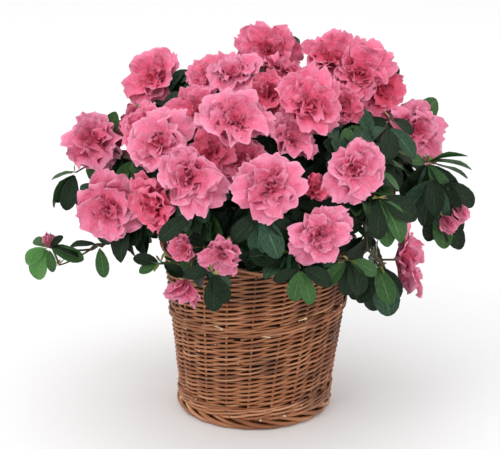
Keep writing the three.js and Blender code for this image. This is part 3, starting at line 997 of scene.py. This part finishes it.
# Each whorl, from the outside in: how many petals; their length and width in flower radii; how far
# they lean out at the base and at the tip, in degrees; their grid; their frill; and their tint's level.
WHORL_PARTS = ("count", "length", "width", "base", "tip", "grid", "frill", "level")
WHORLS = [dict(zip(WHORL_PARTS, values)) for values in [
    (6, 1.0, 0.43, 56, 92, (14, 12), 0.09, 0),
    (5, 0.88, 0.40, 44, 78, (14, 11), 0.11, 0),
    (6, 0.70, 0.30, 42, 74, (11, 9), 0.13, 0),
    (5, 0.50, 0.24, 31, 64, (9, 7), 0.14, 1),
    (5, 0.34, 0.16, 14, 50, (6, 5), 0.12, 1),
]]
# Besides the deeper colour of the inner whorls, the paler tints are painted light on lit flowers and the
# deeper ones painted shade on flowers that lie in shade.
PETAL_TINTS = {
    name: {"edge": colour(*edge), "body": colour(*body), "throat": colour(*throat)}
    for name, edge, body, throat in [
        ("petal_pale", (240, 172, 200), (232, 120, 156), (240, 88, 126)),
        ("petal_rose", (240, 158, 188), (232, 106, 142), (240, 74, 112)),
        ("petal_deep", (240, 144, 174), (232, 94, 130), (238, 60, 94)),
        ("petal_heart", (238, 132, 162), (230, 82, 118), (232, 50, 82)),
    ]
}


def cell_of(index):
    """The lower left corner of a tint's cell on the sheet."""
    return (index % TINTS_EACH_WAY / TINTS_EACH_WAY, index // TINTS_EACH_WAY / TINTS_EACH_WAY)


def in_cell(tint, places):
    """Places on the whole sheet, moved into a tint's cell."""
    return np.array(cell_of(tint)) + places / TINTS_EACH_WAY


def tinted_finishes(paint_for, tints, **shine):
    """One finish for each tint, drawn in that tint's cell of the sheet."""
    return [new_finish(name, paint_for(tint, cell_of(index)), **shine)
            for index, (name, tint) in enumerate(tints.items())]


def new_grid(columns, rows, swapped=False):
    """A flat grid from -1 to 1 along X and Y in a new bmesh, spread over the sheet."""
    bm = bmesh.new()
    bmesh.ops.create_grid(bm, x_segments=columns, y_segments=rows, size=1.0)
    sheet = bm.loops.layers.uv.verify()
    spread = 0.5 - SHEET_MARGIN
    for face in bm.faces:
        for loop in face.loops:
            corner = loop.vert.co.yx if swapped else loop.vert.co.xy
            loop[sheet].uv = (0.5 + spread * corner.x, 0.5 + spread * corner.y)
    return bm


def petal_paint(tint, cell):
    """The paint of one tint of petal, drawn in its own cell of the sheet."""
    def paint(wire):
        place = sheet_place(wire)
        across = (place.split("X") - cell[0]) * TINTS_EACH_WAY
        along = (place.split("Y") - cell[1]) * TINTS_EACH_WAY
        aside = wire.math("ABSOLUTE", across - 0.5) * 2
        edge = wire.math("MAXIMUM", aside ** 5, along ** 7, clamp=True)
        fan = (across - 0.5) / (along + 0.2)
        rays = wire.add("ShaderNodeCombineXYZ", None, {0: fan * 26, 1: along * 3, 2: 0.0})
        veins = wire.noise(rays, 1.0, 3.0)
        blush = wire.noise(place, 9.0, 2.0)
        creases = wire.noise(place, 22.0, 2.0)
        throat = wire.math("MULTIPLY", (1 - along) ** 3, 1.7, clamp=True)
        shade = wire.mix(throat, tint["body"], tint["throat"])
        shade = wire.mix(wire.math("MULTIPLY", blush - 0.44, 1.6, clamp=True), shade, tint["throat"])
        shade = wire.mix(wire.math("MULTIPLY", veins - 0.46, 1.6, clamp=True), shade, tint["throat"])
        shade = wire.mix(wire.math("MULTIPLY", 0.47 - veins, 2.6, clamp=True), shade, tint["edge"])
        shade = wire.mix(edge, shade, tint["edge"])
        return {"Base Color": shade, "relief": (veins * 0.5 + creases, 0.0016)}
    return paint


def make_petal(rng, whorl, turn, opening):
    """One petal of a whorl, for a flower of radius 1 that looks along +Z, as arrays."""
    bm = new_grid(*whorl["grid"])
    length = whorl["length"] * rng.uniform(0.74, 1.1)
    width = whorl["width"] * rng.uniform(0.82, 1.25)
    base = math.radians((whorl["base"] + rng.uniform(-12, 12)) * opening)
    tip = math.radians((whorl["tip"] + rng.uniform(-34, 28)) * opening)
    cup = rng.uniform(-0.2, 0.3)
    twist = rng.uniform(-0.3, 0.3)
    cleft = rng.uniform(0.0, 0.16)
    slow = (rng.uniform(2.6, 3.8), rng.uniform(0, 6.3))
    quick = (rng.uniform(7, 10), rng.uniform(0, 6.3))
    frill = whorl["frill"] * (0.2 + 0.8 * opening)
    shift = Vector([rng.uniform(0, 50) for _ in range(3)])
    profile = [Vector((0.015, 0, 0))]
    for step in range(PETAL_STEPS):
        bow = base + (tip - base) * ((step + 0.5) / PETAL_STEPS) ** PETAL_BEND
        onward = Vector((math.sin(bow), 0, math.cos(bow))) * (length / PETAL_STEPS)
        profile.append(profile[-1] + onward)
    turned = Quaternion((0, 0, 1), turn + rng.uniform(-0.4, 0.4))
    for vertex in bm.verts:
        across, along = vertex.co.x, (vertex.co.y + 1) / 2
        around = math.atan2(across, along - 0.3)
        edge = max(abs(across) ** 3, along ** 3) * min(1, 2.5 * along)
        notch = 0.036 * math.sin(1.35 * quick[0] * around + quick[1]) * edge
        notch -= cleft * math.exp(-(across / 0.28) ** 2) * along ** 6
        reach = along - 0.20 * abs(across) ** 2.6 * along ** 2 + notch
        narrow = 0.16 + 0.84 * math.sin(math.pi / 2 * min(1, along / 0.62)) ** 0.9
        narrow *= 1 - 0.12 * max(0, (along - 0.62) / 0.38) ** 2
        wide = across * narrow * width
        step = max(0.0, min(1.0, reach)) * PETAL_STEPS
        low = min(PETAL_STEPS - 1, int(step))
        spine = profile[low].lerp(profile[low + 1], step - low)
        bow = base + (tip - base) * max(0, reach) ** PETAL_BEND
        normal = Vector((-math.cos(bow), 0, math.sin(bow)))
        wave = math.sin(slow[0] * around + slow[1]) + 0.5 * math.sin(quick[0] * around + quick[1])
        spot = Vector((across, along * 1.6, 0))
        crumple = noise.noise(spot * 1.8 + shift) + 0.45 * noise.noise(spot * 4.2 + shift)
        lift = cup * across ** 2 * narrow * width + twist * across * along * width
        lift += frill * (wave * edge + crumple * (0.3 + along))
        place = spine + Vector((0, wide, 0)) + normal * lift
        place.rotate(turned)
        vertex.co = place
    petal = arrays_of(bm)
    bm.free()
    return petal


def make_flower(rng, opening=1.0, missing=0.08):
    """A whole flower as a list of petals, each with arrays and its level from outside to heart."""
    petals = []
    turn = 0.0
    tipped = Quaternion()
    for whorl in WHORLS:
        turn += rng.uniform(0.3, 0.9)
        for index in range(whorl["count"]):
            if rng.random() > missing:
                angle = turn + index * 2 * math.pi / whorl["count"]
                vertices, faces, places = make_petal(rng, whorl, angle, opening)
                vertices = vertices @ np.array(tipped.to_matrix()).T
                petals.append((vertices, faces, places, whorl["level"]))
        tipped = Quaternion((math.cos(turn), math.sin(turn), 0), rng.uniform(0, 0.16)) @ tipped
    return petals


def turned_to(facing, spin):
    """The turning that takes +Z to a direction, after a spin about +Z, as an array."""
    turning = Vector(facing).to_track_quat("Z", "Y") @ Quaternion((0, 0, 1), spin)
    return np.array(turning.to_matrix())


rng = random.Random(9)
flower_kinds = [make_flower(rng) for _ in range(FLOWER_KINDS)]
petal_finishes = tinted_finishes(petal_paint, PETAL_TINTS, roughness=0.55, specular=0.3)
front, rear = Joined(), Joined()
for index, flower in enumerate(flowers):
    joined = front if flower["throat"].y < heart.y else rear
    turning = turned_to(flower["facing"], rng.uniform(0, 2 * math.pi)) * flower["radius"]
    own_kind = flower_kinds[index % FLOWER_KINDS]
    if flower["opening"] < 1:
        own_kind = make_flower(rng, flower["opening"])
    for vertices, faces, places, level in own_kind:
        tint = min(flower["tint"] + level, len(PETAL_TINTS) - 1)
        vertices = vertices @ turning.T + np.array(flower["throat"])
        joined.add(vertices, faces, in_cell(tint, places), tint)
front_blossom = front.make("blossom_front", petal_finishes)
rear_blossom = rear.make("blossom_rear", petal_finishes)
for blossom in (front_blossom, rear_blossom):
    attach(blossom, "root")
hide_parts(*sorted(set(mass_names) - set(LEAFY_MASSES)))

# Leaves. Dark green, leathery, blunt and widest beyond the middle, folded along a paler midrib.
# They stand in whorls at the shoots' tips, with a few more down the twigs.
LEAF_LENGTH = 0.044
LEAF_WIDTH = 0.0235
LEAF_KINDS = 14
TWIG_LEAVES = 4
CHOSEN_SHARE = 0.45  # chosen leaves may come nearer to a flower than the others
FRONT_LOWEST = 0.006  # above the rim, for leaves of the lower front
OTHER_LOWEST = -0.04
INNER_SAG = 0.5
OUTER_SAG = 0.25
LEAF_TINTS = {
    # The darkest tint is both the darker tone of some leaves and painted shade, given to every inner
    # leaf deep in the crown and to chosen leaves that lie in shade.
    "leaf_dark_and_painted_shade": {"blade": colour(12, 26, 14), "rib": colour(60, 94, 54)},
    "leaf_mid": {"blade": colour(44, 84, 42), "rib": colour(132, 164, 104)},
    # Painted sheen: this bluish tint stands in for the sky's reflection on the glossy leaves.
    "leaf_painted_sheen": {"blade": colour(32, 62, 44), "rib": colour(116, 150, 118)},
    "leaf_young": {"blade": colour(72, 126, 62), "rib": colour(130, 172, 96)},
}


def make_leaf(rng):
    """One leaf of length 1 that runs out along +X with its upper side to +Z, as arrays."""
    bm = new_grid(7, 4, swapped=True)
    droop = rng.uniform(0.05, 0.4)
    fold = rng.uniform(0.1, 0.45)
    wave = rng.uniform(0, 6.3)
    half = LEAF_WIDTH / LEAF_LENGTH / 2 * rng.uniform(0.85, 1.12)
    for vertex in bm.verts:
        along = math.sin(math.pi / 4 * (vertex.co.x + 1)) ** 1.2
        across = vertex.co.y
        outline = max(0.07, along ** 0.8 * max(0, 1 - along) ** 0.55 / 0.406)
        wide = across * half * outline
        lift = fold * abs(wide) - droop * along ** 2 + 0.02 * math.sin(9 * along + wave) * abs(across)
        vertex.co = Vector((along * (1 - 0.12 * droop), wide, lift))
    leaf = arrays_of(bm)
    bm.free()
    return leaf


def leaf_paint(tint, cell):
    """The paint of one tint of leaf, drawn in its own cell of the sheet."""
    def paint(wire):
        place = sheet_place(wire)
        across = (place.split("X") - cell[0]) * TINTS_EACH_WAY - 0.5
        along = (place.split("Y") - cell[1]) * TINTS_EACH_WAY
        aside = wire.math("ABSOLUTE", across)
        rib = 1 - wire.math("MULTIPLY", aside, 22.0, clamp=True)
        slant = (along - aside * 0.9) * 75
        side_veins = wire.math("SINE", slant) * 0.5 + 0.5
        mottle = wire.noise(place, 30.0, 3.0)
        cloud = wire.math("ADD", (mottle - 0.4) * 0.6, side_veins * 0.04, clamp=True)
        shade = wire.mix(cloud, tint["blade"], tint["rib"])
        shade = wire.mix(rib * 0.55, shade, tint["rib"])
        return {"Base Color": shade, "Roughness": 0.22 + mottle * 0.22,
                "relief": (side_veins * 0.28 + mottle - rib, 0.0006)}
    return paint


def add_leaf(joined, leaf, base, direction, upper, size, tint, share=0.8, lowest=0.0):
    """Places a leaf along a direction, unless it would hide a flower or hang too low."""
    direction = direction.normalized()
    side = upper.cross(direction).normalized()
    turning = np.array([direction, side, direction.cross(side)]).T * size
    vertices = leaf[0] @ turning.T + np.array(base)
    if clear_of_flowers(vertices, share) and vertices[:, 2].min() > lowest:
        joined.add(vertices, leaf[1], in_cell(tint, leaf[2]), tint)


def any_side(rng, axis):
    """A direction square to an axis, at any turn about it."""
    first = axis.orthogonal().normalized()
    first.rotate(Quaternion(axis, rng.uniform(0, 2 * math.pi)))
    return first


rng = random.Random(11)
leaf_kinds = [make_leaf(rng) for _ in range(LEAF_KINDS)]
leaves = Joined()
for shoot in shoots:
    facing, tip = shoot["facing"], shoot["tip"]
    if "leaves" in shoot:
        for turn, lift, length, tint, *upper_lift in shoot["leaves"]:
            direction = toward(turn, lift)
            upper = toward(0, upper_lift[0] if upper_lift else 35)
            base = tip + direction * 0.003
            add_leaf(leaves, rng.choice(leaf_kinds), base, direction, upper, length / 1000, tint,
                     share=CHOSEN_SHARE)
        continue
    if "flower" in shoot and shoot["flower"]["opening"] < BUD_OPENING:
        continue
    count = rng.randint(4, 6)
    first = any_side(rng, facing)
    inner = shoot.get("inner")
    sag = INNER_SAG if inner else OUTER_SAG
    lowest = rim_high.z + (FRONT_LOWEST if shoot["mass"] == "lower_front" else OTHER_LOWEST)
    for index in range(count):
        radial = first.copy()
        radial.rotate(Quaternion(facing, index * 2 * math.pi / count + rng.uniform(-0.25, 0.25)))
        spread = math.radians(rng.uniform(70, 110))
        direction = facing * math.cos(spread) + radial * math.sin(spread) - UP * sag
        # Inner leaves all take the darkest tint, as painted shade deep in the crown.
        tint = 0 if inner else rng.choice([0, 0, 1, 1, 2])
        size = LEAF_LENGTH * rng.uniform(0.75, 1.1)
        add_leaf(leaves, rng.choice(leaf_kinds), tip + direction * 0.002, direction, facing, size, tint,
                 lowest=lowest)
    for _ in range(TWIG_LEAVES):
        base = Vector(shoot["path"][rng.randint(2, 5)])
        radial = any_side(rng, facing)
        direction = radial + facing * 0.3 - UP * 0.1
        if base.z < lowest_tip:
            continue
        leaf = rng.choice(leaf_kinds)
        size = LEAF_LENGTH * rng.uniform(0.7, 1.0)
        add_leaf(leaves, leaf, base, direction, facing, size, rng.choice([0, 0, 1, 2]), lowest=lowest)
leaf_piece = leaves.make("leaves", tinted_finishes(leaf_paint, LEAF_TINTS, specular=0.16))
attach(leaf_piece, "root")
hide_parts(*LEAFY_MASSES)

# Stalks and scales. Each flower has a thin green stalk, and small pointed scales, the opened cover of
# its bud, stand round the stalk's foot. Some leafy shoots end in such scales too, most of them greener.
STALK_RADIUS = 0.0011
SCALE_LENGTH = (0.008, 0.013)
SCALE_WIDTH = 0.62
SCALE_TURN = 2.4
SCALE_TINTS = {
    "scale_cream": {"blade": colour(176, 160, 104), "rib": colour(222, 212, 160)},
    "scale_green": {"blade": colour(118, 132, 62), "rib": colour(190, 190, 112)},
}


def stalk_paint(wire):
    place = wire.own_place()
    flush = wire.noise(place, 70.0, 2.0)
    shade = wire.mix(flush, colour(96, 112, 58), colour(132, 84, 64))
    return {"Base Color": shade, "relief": (flush, 0.0003)}


scales = Joined()
stalks = Joined()
for shoot in shoots:
    facing, tip = shoot["facing"], shoot["tip"]
    first = any_side(rng, facing)
    for index in range(shoot["scales"]):
        radial = first.copy()
        radial.rotate(Quaternion(facing, index * SCALE_TURN))
        direction = (facing * rng.uniform(0.5, 1.6) + radial).normalized()
        length = rng.uniform(*SCALE_LENGTH)
        side = facing.cross(direction).normalized()
        turning = np.array([direction, side * SCALE_WIDTH, direction.cross(side)]).T * length
        leaf = rng.choice(leaf_kinds)
        tint = 0 if "flower" in shoot else rng.choice([0, 1, 1])
        scales.add(leaf[0] @ turning.T + np.array(tip), leaf[1], in_cell(tint, leaf[2]), tint)
    if "flower" in shoot:
        path = bent(tip, tip + facing * 0.01, shoot["flower"]["throat"] + facing * 0.002, 4)
        add_twig(stalks, path, STALK_RADIUS, 6)
scale_piece = scales.make("bud_scales", tinted_finishes(leaf_paint, SCALE_TINTS, roughness=0.5))
stalk_piece = stalks.make("flower_stalks", [new_finish("flower_stalk", stalk_paint)])
for piece in (scale_piece, stalk_piece):
    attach(piece, "root")
